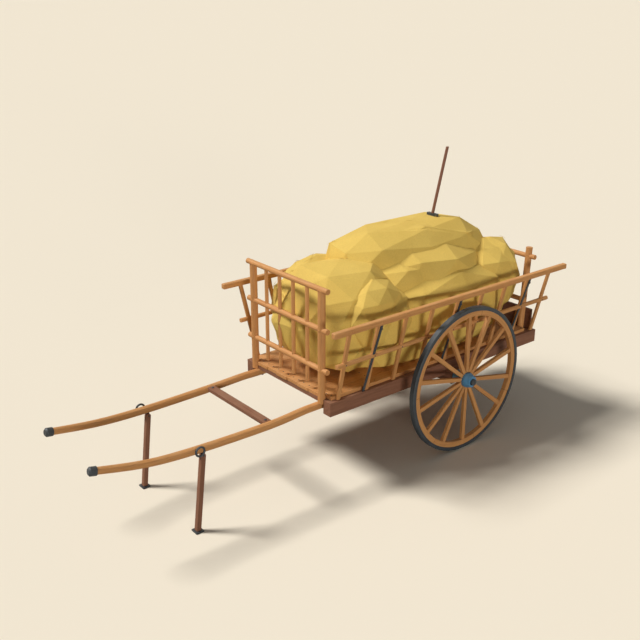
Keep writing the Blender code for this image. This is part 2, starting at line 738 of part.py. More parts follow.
def build_hay():
    """The lumps joined, flat on the floor and cut clear of the racks and both gates."""
    chance = random.Random(hay_seed)
    lumps = []
    for number, lump in enumerate(hay_lumps):
        builder = bmesh.new()
        lump_into(builder, lump, chance)
        lumps.append(add_object("hay_lump_%d" % number, builder, hay_straw))
    hay = lumps[0]
    hay.name = "hay_heap"
    for lump in lumps[1:]:
        combine(hay, lump, "UNION")
    reach = rack_x(top_rail_height) + top_rail_size
    floor = bmesh.new()
    box_into(floor, (-reach, top_rail_front, 0.0), (reach, top_rail_rear, floor_top + seat_gap))
    combine(hay, add_object("hay_floor_cut", floor, hay_straw), "DIFFERENCE")
    ahead = bmesh.new()
    box_into(ahead, (-reach, top_rail_front, 0.0),
             (reach, front_gate_y - gate_rail_radius, sill_top + 2.0 * front_post_rise))
    combine(hay, add_object("hay_front_cut", ahead, hay_straw), "DIFFERENCE")
    inward = max(low_rail_radius / math.cos(math.atan(rack_lean)), top_rail_size / 2.0 * (1.0 + rack_lean))
    limits = [(z, rack_x(z) - inward - hay_clearance)
              for z in (sill_top, top_rail_height + top_rail_size / 2.0 + hay_clearance)]
    for side_name, side in sides:
        beside = bmesh.new()
        outline = [(side * x, z) for z, x in limits] + [(side * reach, z) for z, _ in reversed(limits)]
        skin_rings(beside, [[(x, y, z) for x, z in outline] for y in (top_rail_front, top_rail_rear)])
        combine(hay, add_object("hay_cut_" + side_name, beside, hay_straw), "DIFFERENCE")
    for name, groups in (("front", front_gate_rods()), ("rear", rear_gate_rods())):
        for group_name, rods in groups.items():
            guide = add_rods("hay_%s_%s_cut" % (name, group_name), rods, hay_straw, hay_clearance)
            combine(hay, guide, "DIFFERENCE")
    half = fork_head_width / 2.0 + seat_gap
    size = fork_head_size / 2.0 + seat_gap
    z = sill_top + fork_foot_rise
    pocket = bmesh.new()
    box_into(pocket, (fork_x - half, fork_y - size, z - size), (fork_x + half, fork_y + size, z + fork_length))
    combine(hay, add_object("fork_pocket", pocket, hay_straw), "DIFFERENCE")


def build_fork():
    """A pitchfork pushed into the heap: its head lies in the hay and its handle leans."""
    foot = Vector((fork_x, fork_y, sill_top + fork_foot_rise))
    tip = foot + Vector((fork_lean_x, fork_lean_y, 1.0)).normalized() * fork_length
    handle = bmesh.new()
    head_top = foot + Vector((0.0, 0.0, fork_head_size / 2.0 + seat_gap))
    rings = []
    for centre, radius in ((head_top, fork_handle_radius), (tip, fork_tip_radius)):
        angles = [2.0 * math.pi * i / 10 for i in range(10)]
        rings.append([centre + Vector((radius * math.cos(a), radius * math.sin(a), 0.0)) for a in angles])
    skin_rings(handle, rings)
    add_object("fork_handle", handle, handle_wood, smooth=True)
    half = Vector((fork_head_width, fork_head_size, fork_head_size)) / 2.0
    head = bmesh.new()
    box_into(head, foot - half, foot + half)
    add_object("fork_head", head, iron)


build_bed()
build_floor()
build_gates()
build_racks()
build_shafts()
build_rings()
build_prop_legs()
build_wheels()
build_hay()
build_fork()

bpy.context.view_layer.update()
front_end = min((item.matrix_world @ Vector(corner)).y for item in bpy.data.objects
                if item.type == "MESH" and not item.hide_render for corner in item.bound_box)
cart.location.y = -(front_end + top_rail_rear) / 2.0
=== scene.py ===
import math
import random

import bmesh
import bpy
from mathutils import Matrix, Vector
from mathutils.bvhtree import BVHTree


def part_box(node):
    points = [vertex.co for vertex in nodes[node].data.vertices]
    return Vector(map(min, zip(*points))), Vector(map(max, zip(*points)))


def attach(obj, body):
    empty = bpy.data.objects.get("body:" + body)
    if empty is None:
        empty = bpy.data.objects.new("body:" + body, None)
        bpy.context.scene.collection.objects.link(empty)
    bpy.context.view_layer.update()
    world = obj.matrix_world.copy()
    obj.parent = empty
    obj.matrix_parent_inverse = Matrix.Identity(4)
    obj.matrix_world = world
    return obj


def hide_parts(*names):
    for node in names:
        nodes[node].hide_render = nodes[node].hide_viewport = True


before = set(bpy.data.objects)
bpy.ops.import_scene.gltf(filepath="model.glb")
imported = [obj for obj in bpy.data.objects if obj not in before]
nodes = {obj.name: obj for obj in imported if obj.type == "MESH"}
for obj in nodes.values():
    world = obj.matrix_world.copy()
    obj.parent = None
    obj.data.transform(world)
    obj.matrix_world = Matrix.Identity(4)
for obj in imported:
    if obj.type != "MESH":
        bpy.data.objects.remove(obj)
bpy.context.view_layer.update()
print("frame loaded,", len(nodes), "nodes")


def middleOf(nodeName):
    low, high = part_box(nodeName)
    return (low + high) / 2


# places that several pieces are measured from
axle = middleOf("axle_bed")
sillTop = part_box("sill_left")[1].z
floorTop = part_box("floor_board_3")[1].z
frontGateY = middleOf("front_gate").y
wheelCentres = {"left": middleOf("tyre_left"), "right": middleOf("tyre_right")}
sides = (("left", 1.0), ("right", -1.0))
boardNames = ["floor_board_%d" % number for number in range(1, 9)]
crossMembers = ["front_beam", "front_bearer", "axle_bed", "rear_bearer", "rear_beam"]

# members that share a node are told apart by these, rises are from the sills' top
gateParts = {
    "rises": {"front_gate": (0.283, 0.665, 1.035), "rear_gate": (0.322, 0.807)},
    "railReach": 0.033, "postInside": 0.476, "postMiddle": 0.513, "postOutside": 0.548,
}
rackParts = {
    "footX": 0.625, "lean": 0.2874,
    "topRise": 0.7395, "lowRise": 0.3867, "topReach": 0.027, "lowReach": 0.0235,
}
wheelParts = {"spokes": 14.0, "felloeInside": 0.6515}


# the plane of a rack's slats
def rackX(z):
    return rackParts["footX"] + rackParts["lean"] * (z - sillTop)


# camera: its place is measured from the ground under the axle's middle
cameraView = {
    "fromAxle": (6.118, -6.0974, 4.3865),
    "tiltDegrees": 69.091,
    "turnDegrees": 50.935,
    "lens": 50.0,
    "sensor": 36.0,
}


def makeCamera():
    cameraData = bpy.data.cameras.new("cartCamera")
    cameraData.lens = cameraView["lens"]
    cameraData.sensor_width = cameraView["sensor"]
    camera = bpy.data.objects.new("cartCamera", cameraData)
    bpy.context.scene.collection.objects.link(camera)
    right, along, up = cameraView["fromAxle"]
    camera.location = (right, axle.y + along, up)
    tilt, turn = math.radians(cameraView["tiltDegrees"]), math.radians(cameraView["turnDegrees"])
    camera.rotation_euler = (tilt, 0.0, turn)
    bpy.context.scene.camera = camera


makeCamera()
print("camera placed")


# studio: cream paper, a soft lamp from the left of the picture, a low one from behind the camera, a faint sky
studio = {
    "paperColor": (0.888, 0.807, 0.665, 1.0),
    "paperSize": 420.0,
    "paperRoughness": 1.0,
    "paperBounce": 0.22,  # share of its colour that the paper throws back on the object
    "skyColor": (0.97, 0.98, 1.0, 1.0),
    "skyLow": 0.03,       # strength at the horizon
    "skyHigh": 0.23,      # and straight above
    # strength, angle in degrees, the way it shines, colour
    "lamps": (
        ("softLamp", 3.28, 16.0, (0.575, 0.582, -1.0), (1.0, 0.985, 0.96)),
        ("lowFillLamp", 2.45, 18.0, (-0.93, 0.38, -0.002), (1.0, 0.98, 0.95)),
    ),
}


# kind of node with its settings, its inputs set to values or linked from sockets
def addNode(tree, kind, inputs=None, **settings):
    node = tree.nodes.new(kind)
    for key, value in settings.items():
        setattr(node, key, value)
    for key, value in (inputs or {}).items():
        if isinstance(value, bpy.types.NodeSocket):
            tree.links.new(value, node.inputs[key])
        else:
            node.inputs[key].default_value = value
    return node


def calculate(tree, operation, first, second=0.0, clamp=False):
    node = addNode(tree, "ShaderNodeMath", {0: first, 1: second}, operation=operation, use_clamp=clamp)
    return node.outputs[0]


def multiply(tree, first, second, clamp=False):
    return calculate(tree, "MULTIPLY", first, second, clamp)


def vectorMath(tree, operation, first, second=(0.0, 0.0, 0.0)):
    return addNode(tree, "ShaderNodeVectorMath", {0: first, 1: second}, operation=operation).outputs[0]


def splitVector(tree, vector):
    return addNode(tree, "ShaderNodeSeparateXYZ", {0: vector}).outputs


def joinVector(tree, x, y, z):
    return addNode(tree, "ShaderNodeCombineXYZ", {"X": x, "Y": y, "Z": z}).outputs[0]


def objectPlace(tree):
    return addNode(tree, "ShaderNodeTexCoord").outputs["Object"]


def noise(tree, vector, scale, detail, roughness=0.5):
    inputs = {"Vector": vector, "Scale": scale, "Detail": detail, "Roughness": roughness}
    return addNode(tree, "ShaderNodeTexNoise", inputs).outputs["Fac"]


# a value's part of the way from low to high, as a number from newLow to newHigh
def stretchRange(tree, value, span, newLow=0.0, newHigh=1.0):
    low, high = span
    node = addNode(tree, "ShaderNodeMapRange", {
        "Value": value, "From Min": low, "From Max": high, "To Min": newLow, "To Max": newHigh})
    return node.outputs["Result"]


# second over first by amount, which is a number or a socket
def blendColors(tree, amount, first, second):
    return addNode(tree, "ShaderNodeMix", {0: amount, 6: first, 7: second}, data_type="RGBA").outputs[2]


def paperMaterial():
    material = bpy.data.materials.new("studioPaper")
    material.use_nodes = True
    shader = material.node_tree.nodes["Principled BSDF"]
    shader.inputs["Roughness"].default_value = studio["paperRoughness"]
    shader.inputs["Specular IOR Level"].default_value = 0.0
    tree = material.node_tree
    ray = addNode(tree, "ShaderNodeLightPath")
    dimmed = [part * studio["paperBounce"] for part in studio["paperColor"][:3]] + [1.0]
    seen = blendColors(tree, ray.outputs["Is Diffuse Ray"], studio["paperColor"], dimmed)
    tree.links.new(seen, shader.inputs["Base Color"])
    return material


def makePaper():
    bpy.ops.object.select_all(action="DESELECT")
    bpy.ops.mesh.primitive_plane_add(size=studio["paperSize"], location=(0.0, 0.0, 0.0))
    paper = bpy.context.object
    paper.name = "studioPaper"
    paper.data.materials.append(paperMaterial())


def makeLamps():
    for name, strength, angle, towards, color in studio["lamps"]:
        lampData = bpy.data.lights.new(name, "SUN")
        lampData.energy = strength
        lampData.angle = math.radians(angle)
        lampData.color = color
        lamp = bpy.data.objects.new(name, lampData)
        lamp.rotation_euler = Vector(towards).to_track_quat("-Z", "Y").to_euler()
        bpy.context.scene.collection.objects.link(lamp)


# the camera and anything glossy see paper, the object is lit by a faint sky
def makeSky():
    world = bpy.data.worlds.new("studioSky")
    bpy.context.scene.world = world
    world.use_nodes = True
    tree = world.node_tree
    sky = tree.nodes["Background"]
    sky.inputs["Color"].default_value = studio["skyColor"]
    place = addNode(tree, "ShaderNodeTexCoord")
    height = splitVector(tree, place.outputs["Generated"])["Z"]
    strength = stretchRange(tree, height, (0.0, 1.0), studio["skyLow"], studio["skyHigh"])
    tree.links.new(strength, sky.inputs["Strength"])
    backdrop = addNode(tree, "ShaderNodeBackground", {"Color": studio["paperColor"], "Strength": 1.0})
    ray = addNode(tree, "ShaderNodeLightPath")
    seen = calculate(tree, "MAXIMUM", ray.outputs["Is Camera Ray"], ray.outputs["Is Glossy Ray"])
    seen = calculate(tree, "MAXIMUM", seen, ray.outputs["Is Transmission Ray"])
    both = addNode(tree, "ShaderNodeMixShader", {0: seen, 1: sky.outputs[0], 2: backdrop.outputs[0]})
    tree.links.new(both.outputs[0], tree.nodes["World Output"].inputs["Surface"])
    bpy.context.scene.view_settings.view_transform = "Standard"


makePaper()
makeLamps()
makeSky()
print("studio ready")


# shader effects, each built once and placed in the materials with its own values
grainShape = {
    "memberShift": 9.0,        # how far apart two members lie in the pattern
    "fineRoughness": 0.62, "streakRange": (0.36, 0.66),
    "waveShare": 0.22, "waveDistortion": 7.0, "waveScale": 1.4, "waveAmount": 0.38,
    "bandShare": 0.13, "bandRange": (0.34, 0.66), "memberAmount": 0.35,
    "fleckShare": 2.6, "fleckRange": (0.62, 0.74),
}
wearShape = {"samples": 4, "breakupRange": (0.38, 0.62)}
dustShape = {"slopeRange": (0.2, 1.0), "patchRange": (0.4, 0.65)}
wheelShape = {"rimLength": 4.3, "jointRange": (0.4935, 0.4965)}
strawShape = {
    "layers": ((1.0, 0.0), (1.7, 3.1)),      # patch size and shift of each layer
    "fibreRange": (0.38, 0.64), "secondAmount": 0.85,
    "toneScale": 3.2, "toneRange": (0.36, 0.64),
}


def newGroup(name, inputs, outputs):
    tree = bpy.data.node_groups.new(name, "ShaderNodeTree")
    for socketName, kind, value in inputs:
        socket = tree.interface.new_socket(socketName, in_out="INPUT", socket_type=kind)
        if value is not None:
            socket.default_value = value
    for socketName in outputs:
        tree.interface.new_socket(socketName, in_out="OUTPUT", socket_type="NodeSocketFloat")
    return tree, tree.nodes.new("NodeGroupInput").outputs, tree.nodes.new("NodeGroupOutput").inputs


# wood figure whose grain runs along X of the vector given to it
def makeGrainFigure():
    tree, given, result = newGroup("grainFigure", (
        ("Vector", "NodeSocketVector", None), ("Member", "NodeSocketFloat", 0.0),
        ("Density", "NodeSocketFloat", 60.0), ("Stretch", "NodeSocketFloat", 14.0)),
        ("Streaks", "Bands", "Flecks"))
    shape = grainShape
    density = given["Density"]
    chance = addNode(tree, "ShaderNodeTexWhiteNoise", {"W": given["Member"]}, noise_dimensions="1D")
    apart = vectorMath(tree, "MULTIPLY", chance.outputs["Color"], (shape["memberShift"],) * 3)
    moved = vectorMath(tree, "ADD", given["Vector"], apart)
    shorten = calculate(tree, "DIVIDE", 1.0, given["Stretch"])
    long = vectorMath(tree, "MULTIPLY", moved, joinVector(tree, shorten, 1.0, 1.0))
    fine = noise(tree, long, density, 4.0, shape["fineRoughness"])
    waves = addNode(tree, "ShaderNodeTexWave", {
        "Vector": long, "Scale": multiply(tree, density, shape["waveShare"]),
        "Distortion": shape["waveDistortion"], "Detail": 2.0, "Detail Scale": shape["waveScale"],
    }, wave_type="BANDS", bands_direction="DIAGONAL")
    streaks = addNode(tree, "ShaderNodeMix", {
        "Factor": shape["waveAmount"], "A": stretchRange(tree, fine, shape["streakRange"]),
        "B": waves.outputs["Fac"]}, data_type="FLOAT")
    wide = noise(tree, long, multiply(tree, density, shape["bandShare"]), 2.0)
    bands = addNode(tree, "ShaderNodeMix", {
        "Factor": shape["memberAmount"], "A": stretchRange(tree, wide, shape["bandRange"]),
        "B": chance.outputs["Value"]}, data_type="FLOAT")
    specks = noise(tree, long, multiply(tree, density, shape["fleckShare"]), 1.0)
    tree.links.new(streaks.outputs["Result"], result["Streaks"])
    tree.links.new(bands.outputs["Result"], result["Bands"])
    tree.links.new(stretchRange(tree, specks, shape["fleckRange"]), result["Flecks"])


# bright where a bevelled normal leaves the face's own, broken up by a noise
def makeEdgeWear():
    tree, given, result = newGroup("edgeWear", (
        ("Radius", "NodeSocketFloat", 0.006), ("Breakup", "NodeSocketFloat", 25.0),
        ("Gain", "NodeSocketFloat", 5.0)), ("Mask",))
    rounded = addNode(tree, "ShaderNodeBevel", {"Radius": given["Radius"]}, samples=wearShape["samples"])
    face = addNode(tree, "ShaderNodeNewGeometry")
    same = addNode(tree, "ShaderNodeVectorMath", {
        0: rounded.outputs[0], 1: face.outputs["Normal"]}, operation="DOT_PRODUCT").outputs["Value"]
    turned = multiply(tree, calculate(tree, "SUBTRACT", 1.0, same), given["Gain"], clamp=True)
    patches = noise(tree, objectPlace(tree), given["Breakup"], 3.0)
    broken = stretchRange(tree, patches, wearShape["breakupRange"])
    tree.links.new(multiply(tree, turned, broken, clamp=True), result["Mask"])


# lies on what faces up, thicker in patches
def makeDustLayer():
    tree, given, result = newGroup("dustLayer", (
        ("Patch", "NodeSocketFloat", 6.0), ("Amount", "NodeSocketFloat", 0.3)), ("Mask",))
    face = addNode(tree, "ShaderNodeNewGeometry")
    upward = stretchRange(tree, splitVector(tree, face.outputs["Normal"])["Z"], dustShape["slopeRange"])
    patches = stretchRange(tree, noise(tree, objectPlace(tree), given["Patch"], 4.0), dustShape["patchRange"])
    lying = multiply(tree, multiply(tree, upward, patches), given["Amount"], clamp=True)
    tree.links.new(lying, result["Mask"])


# place in a wheel: out from the hub, round the rim, and which spoke or felloe it is
def makeWheelSpace():
    tree, given, result = newGroup("wheelSpace", (
        ("Vector", "NodeSocketVector", None), ("Spokes", "NodeSocketFloat", wheelParts["spokes"])),
        ("Radius", "Around", "Beside", "Spoke", "Felloe", "Joint"))
    place = splitVector(tree, given["Vector"])
    y, z = place["Y"], place["Z"]
    radius = calculate(tree, "SQRT", calculate(tree, "ADD", multiply(tree, y, y), multiply(tree, z, z)))
    turn = calculate(tree, "ADD", calculate(tree, "ARCTAN2", z, y), math.pi)
    turn = calculate(tree, "DIVIDE", turn, 2.0 * math.pi)
    inSpokes = multiply(tree, turn, given["Spokes"])
    middle = calculate(tree, "SUBTRACT", calculate(tree, "FRACT", inSpokes), 0.5)
    step = calculate(tree, "DIVIDE", 2.0 * math.pi, given["Spokes"])
    # two spokes go into each felloe
    inFelloes = multiply(tree, inSpokes, 0.5)
    fromMiddle = calculate(tree, "SUBTRACT", calculate(tree, "FRACT", inFelloes), 0.5)
    tree.links.new(radius, result["Radius"])
    tree.links.new(multiply(tree, turn, wheelShape["rimLength"]), result["Around"])
    tree.links.new(multiply(tree, multiply(tree, middle, step), radius), result["Beside"])
    tree.links.new(calculate(tree, "FLOOR", inSpokes), result["Spoke"])
    tree.links.new(calculate(tree, "FLOOR", inFelloes), result["Felloe"])
    joint = stretchRange(tree, calculate(tree, "ABSOLUTE", fromMiddle), wheelShape["jointRange"])
    tree.links.new(joint, result["Joint"])


# short straws that lie in a new direction in every patch
def makeStrawFibres():
    tree, given, result = newGroup("strawFibres", (
        ("Vector", "NodeSocketVector", None), ("Patch", "NodeSocketFloat", 16.0),
        ("Density", "NodeSocketFloat", 240.0)), ("Fibres", "Tone"))
    layers = []
    for part, shift in strawShape["layers"]:
        moved = vectorMath(tree, "ADD", given["Vector"], (shift, shift, shift))
        patches = addNode(tree, "ShaderNodeTexVoronoi", {
            "Vector": moved, "Scale": multiply(tree, given["Patch"], part)})
        centred = vectorMath(tree, "SUBTRACT", patches.outputs["Color"], (0.5, 0.5, 0.5))
        across = vectorMath(tree, "CROSS_PRODUCT", moved, vectorMath(tree, "NORMALIZE", centred))
        straws = noise(tree, across, given["Density"], 1.5)
        layers.append(stretchRange(tree, straws, strawShape["fibreRange"]))
    second = multiply(tree, layers[1], strawShape["secondAmount"])
    tree.links.new(calculate(tree, "MAXIMUM", layers[0], second), result["Fibres"])
    tone = noise(tree, given["Vector"], strawShape["toneScale"], 3.0)
    tree.links.new(stretchRange(tree, tone, strawShape["toneRange"]), result["Tone"])


makeGrainFigure()
makeEdgeWear()
makeDustLayer()
makeWheelSpace()
makeStrawFibres()
print("shader effects ready")


def newMaterial(name):
    material = bpy.data.materials.new(name)
    material.use_nodes = True
    return material, material.node_tree, material.node_tree.nodes["Principled BSDF"]


def placeGroup(tree, name, inputs):
    return addNode(tree, "ShaderNodeGroup", inputs, node_tree=bpy.data.node_groups[name]).outputs


def turnedPlace(tree, rotation=(0.0, 0.0, 0.0), location=(0.0, 0.0, 0.0)):
    mapping = addNode(tree, "ShaderNodeMapping", {
        "Vector": objectPlace(tree), "Location": location, "Rotation": rotation})
    return mapping.outputs[0]


def addDust(tree, look, color):
    dust = placeGroup(tree, "dustLayer", {"Patch": look["dustPatch"], "Amount": look["dustAmount"]})["Mask"]
    return blendColors(tree, dust, color, look["dust"])


def wearMask(tree, look):
    return placeGroup(tree, "edgeWear", {
        "Radius": look["wearRadius"], "Breakup": look["wearBreakup"], "Gain": look["wearGain"]})["Mask"]


# a bumped normal, over edges that are rounded off where the look says so
def addBump(tree, shader, look, relief):
    inputs = {"Height": relief, "Strength": look["bump"], "Distance": look["bumpDistance"]}
    if "rounding" in look:
        rounded = addNode(tree, "ShaderNodeBevel", {"Radius": look["rounding"]}, samples=wearShape["samples"])
        inputs["Normal"] = rounded.outputs[0]
    bump = addNode(tree, "ShaderNodeBump", inputs)
    tree.links.new(bump.outputs[0], shader.inputs["Normal"])


# grain directions: the turn that brings the grain to X
quarter = math.pi / 2.0
rackLean = math.atan(rackParts["lean"])
grainTurns = {
    "X": (0.0, 0.0, 0.0),
    "Y": (0.0, 0.0, -quarter),
    "Z": (0.0, quarter, 0.0),
    "slatLeft": (0.0, quarter - rackLean, 0.0),
    "slatRight": (0.0, quarter + rackLean, 0.0),
}

woodShape = {
    "wearRadius": 0.007, "wearBreakup": 30.0, "wearGain": 5.0, "dustPatch": 7.0,
    "jointAmount": 0.75, "streakDepth": 0.6, "bumpDistance": 0.002,
}
lightWood = dict(woodShape, **{
    "light": (0.676, 0.327, 0.107, 1.0), "middle": (0.578, 0.262, 0.080, 1.0),
    "dark": (0.382, 0.158, 0.047, 1.0),
    "fleck": (0.262, 0.104, 0.035, 1.0), "worn": (0.785, 0.436, 0.185, 1.0),
    "dust": (0.719, 0.512, 0.283, 1.0),
    "streakAmount": 0.42, "fleckAmount": 0.35, "wearAmount": 0.55, "dustAmount": 0.16,
    "density": 62.0, "stretch": 15.0, "roughness": (0.62, 0.80), "bump": 0.22, "rounding": 0.004,
})
darkWood = dict(woodShape, **{
    "light": (0.285, 0.122, 0.062, 1.0), "middle": (0.222, 0.092, 0.047, 1.0),
    "dark": (0.128, 0.052, 0.028, 1.0),
    "fleck": (0.075, 0.030, 0.020, 1.0), "worn": (0.370, 0.180, 0.105, 1.0),
    "dust": (0.420, 0.300, 0.190, 1.0),
    "streakAmount": 0.45, "fleckAmount": 0.30, "wearAmount": 0.50, "dustAmount": 0.14,
    "density": 46.0, "stretch": 16.0, "roughness": (0.66, 0.84), "bump": 0.26, "rounding": 0.005,
})
handleWood = dict(darkWood, light=(0.240, 0.098, 0.055, 1.0), middle=(0.190, 0.074, 0.041, 1.0), density=90.0,
                  roughness=(0.48, 0.66), bump=0.12, dustAmount=0.0)


def finishWood(material, tree, shader, look, vector, member=0.0, joint=None):
    figure = placeGroup(tree, "grainFigure", {
        "Vector": vector, "Member": member, "Density": look["density"], "Stretch": look["stretch"]})
    streaks, flecks = figure["Streaks"], figure["Flecks"]
    color = blendColors(tree, figure["Bands"], look["light"], look["middle"])
    color = blendColors(tree, multiply(tree, streaks, look["streakAmount"]), color, look["dark"])
    color = blendColors(tree, multiply(tree, flecks, look["fleckAmount"]), color, look["fleck"])
    if joint is not None:
        color = blendColors(tree, multiply(tree, joint, look["jointAmount"]), color, look["fleck"])
    color = blendColors(tree, multiply(tree, wearMask(tree, look), look["wearAmount"]), color, look["worn"])
    tree.links.new(addDust(tree, look, color), shader.inputs["Base Color"])
    tree.links.new(stretchRange(tree, streaks, (0.0, 1.0), *look["roughness"]), shader.inputs["Roughness"])
    hollows = calculate(tree, "MAXIMUM", multiply(tree, streaks, look["streakDepth"]), flecks)
    addBump(tree, shader, look, calculate(tree, "SUBTRACT", 1.0, hollows))
    return material


def straightWood(name, look, grain):
    material, tree, shader = newMaterial(name)
    return finishWood(material, tree, shader, look, turnedPlace(tree, grainTurns[grain]))


# grain along Y, and every board across the bed has its own tone
def boardWood(name, look, firstEdge, pitch):
    material, tree, shader = newMaterial(name)
    place = turnedPlace(tree, grainTurns["Y"])
    across = splitVector(tree, objectPlace(tree))["X"]
    boards = calculate(tree, "DIVIDE", calculate(tree, "SUBTRACT", across, firstEdge), pitch)
    board = calculate(tree, "FLOOR", boards)
    return finishWood(material, tree, shader, look, place, board)


# grain along the spokes, or round the felloes with a dark line at each joint
def wheelWood(name, look, centre, part):
    material, tree, shader = newMaterial(name)
    place = turnedPlace(tree, location=tuple(-centre))
    space = placeGroup(tree, "wheelSpace", {"Vector": place, "Spokes": wheelParts["spokes"]})
    across = splitVector(tree, objectPlace(tree))["X"]
    if part == "spoke":
        vector = joinVector(tree, space["Radius"], space["Beside"], across)
        return finishWood(material, tree, shader, look, vector, space["Spoke"])
    vector = joinVector(tree, space["Around"], space["Radius"], across)
    return finishWood(material, tree, shader, look, vector, space["Felloe"], space["Joint"])


ironLook = {
    "dark": (0.026, 0.032, 0.039, 1.0), "light": (0.050, 0.060, 0.070, 1.0),
    "rust": (0.095, 0.052, 0.030, 1.0),
    "bright": (0.150, 0.165, 0.178, 1.0), "dust": (0.300, 0.250, 0.190, 1.0),
    "patch": 9.0, "patchRange": (0.35, 0.65), "grit": 420.0, "gritRange": (0.40, 0.60), "gritDepth": 0.3,
    "rustRange": (0.56, 0.70), "rustAmount": 0.35, "metallic": 0.25,
    "wearRadius": 0.004, "wearBreakup": 40.0, "wearGain": 5.0, "wearAmount": 0.6,
    "dustPatch": 9.0, "dustAmount": 0.12,
    "roughness": (0.46, 0.70), "roughRange": (0.3, 0.7), "hammer": 70.0, "bump": 0.25, "bumpDistance": 0.0015,
    "rounding": 0.002,
}
tyreLook = dict(ironLook, dark=(0.028, 0.036, 0.045, 1.0), light=(0.048, 0.060, 0.072, 1.0), rustAmount=0.25,
                dustAmount=0.10, hammer=45.0, bump=0.18)
paintLook = {
    "light": (0.093, 0.299, 0.519, 1.0), "dark": (0.063, 0.211, 0.376, 1.0),
    "chip": (0.051, 0.055, 0.059, 1.0),
    "dust": (0.376, 0.365, 0.331, 1.0), "brush": 260.0, "brushLength": 0.25, "brushAmount": 0.35,
    "brushDepth": 0.3,
    "patch": 14.0, "patchAmount": 0.5, "patchRange": (0.35, 0.65), "chips": 85.0, "chipRange": (0.70, 0.73),
    "chipAmount": 0.9, "wearRadius": 0.008, "wearBreakup": 55.0, "wearGain": 5.0, "wearAmount": 1.3,
    "dustPatch": 12.0, "dustAmount": 0.15, "roughness": (0.34, 0.55), "roughRange": (0.3, 0.7), "bump": 0.12,
    "bumpDistance": 0.001,
}


def ironMaterial(name, look):
    material, tree, shader = newMaterial(name)
    place = turnedPlace(tree)
    patches = noise(tree, place, look["patch"], 5.0, 0.6)
    dents = noise(tree, place, look["hammer"], 2.0)
    grit = noise(tree, place, look["grit"], 2.0)
    color = blendColors(tree, stretchRange(tree, patches, look["patchRange"]), look["dark"], look["light"])
    rustPatches = stretchRange(tree, patches, look["rustRange"])
    rusty = multiply(tree, rustPatches, stretchRange(tree, grit, look["gritRange"]))
    color = blendColors(tree, multiply(tree, rusty, look["rustAmount"]), color, look["rust"])
    color = blendColors(tree, multiply(tree, wearMask(tree, look), look["wearAmount"]), color, look["bright"])
    tree.links.new(addDust(tree, look, color), shader.inputs["Base Color"])
    rough = stretchRange(tree, patches, look["roughRange"], *look["roughness"])
    tree.links.new(rough, shader.inputs["Roughness"])
    shader.inputs["Metallic"].default_value = look["metallic"]
    addBump(tree, shader, look, calculate(tree, "ADD", dents, multiply(tree, grit, look["gritDepth"])))
    return material


# brushed round the hub, chipped to iron at the edges
def paintMaterial(name, look, centre):
    material, tree, shader = newMaterial(name)
    place = turnedPlace(tree, location=tuple(-centre))
    space = placeGroup(tree, "wheelSpace", {"Vector": place, "Spokes": wheelParts["spokes"]})
    around = multiply(tree, space["Around"], look["brushLength"])
    brushed = joinVector(tree, around, splitVector(tree, place)["X"], space["Radius"])
    strokes = noise(tree, brushed, look["brush"], 2.0)
    patches = noise(tree, place, look["patch"], 4.0)
    chips = noise(tree, place, look["chips"], 5.0, 0.65)
    brushTone = multiply(tree, stretchRange(tree, strokes, look["patchRange"]), look["brushAmount"])
    patchTone = multiply(tree, stretchRange(tree, patches, look["patchRange"]), look["patchAmount"])
    color = blendColors(tree, calculate(tree, "ADD", brushTone, patchTone), look["light"], look["dark"])
    worn = multiply(tree, wearMask(tree, look), look["wearAmount"])
    bare = calculate(tree, "MAXIMUM", worn, stretchRange(tree, chips, look["chipRange"]), clamp=True)
    color = blendColors(tree, multiply(tree, bare, look["chipAmount"]), color, look["chip"])
    tree.links.new(addDust(tree, look, color), shader.inputs["Base Color"])
    rough = stretchRange(tree, patches, look["roughRange"], *look["roughness"])
    tree.links.new(rough, shader.inputs["Roughness"])
    ridges = multiply(tree, strokes, look["brushDepth"])
    addBump(tree, shader, look, calculate(tree, "SUBTRACT", ridges, bare))
    return material


hayLook = {
    "pale": (0.820, 0.575, 0.128, 1.0), "golden": (0.715, 0.480, 0.094, 1.0),
    # shade: a darker straw colour, painted shade for the gaps between fibres
    "shade": (0.480, 0.305, 0.056, 1.0),
    "fibreAmount": 0.34, "toneAmount": 0.5, "patch": 16.0, "density": 230.0, "roughness": 0.85, "bump": 0.35,
    "bumpDistance": 0.004, "rounding": 0.012,
}


def hayMaterial(name, look):
    material, tree, shader = newMaterial(name)
    straw = placeGroup(tree, "strawFibres", {
        "Vector": turnedPlace(tree), "Patch": look["patch"], "Density": look["density"]})
    tone = blendColors(tree, multiply(tree, straw["Tone"], look["toneAmount"]), look["pale"], look["golden"])
    # painted shade: the gaps between the straw fibres are darkened towards the shade colour
    between = multiply(tree, calculate(tree, "SUBTRACT", 1.0, straw["Fibres"]), look["fibreAmount"])
    tree.links.new(blendColors(tree, between, tone, look["shade"]), shader.inputs["Base Color"])
    shader.inputs["Roughness"].default_value = look["roughness"]
    addBump(tree, shader, look, straw["Fibres"])
    return material


lightWoods = {grain: straightWood("lightWood" + grain, lightWood, grain) for grain in grainTurns}
darkWoods = {grain: straightWood("darkWood" + grain, darkWood, grain) for grain in ("X", "Y", "Z")}
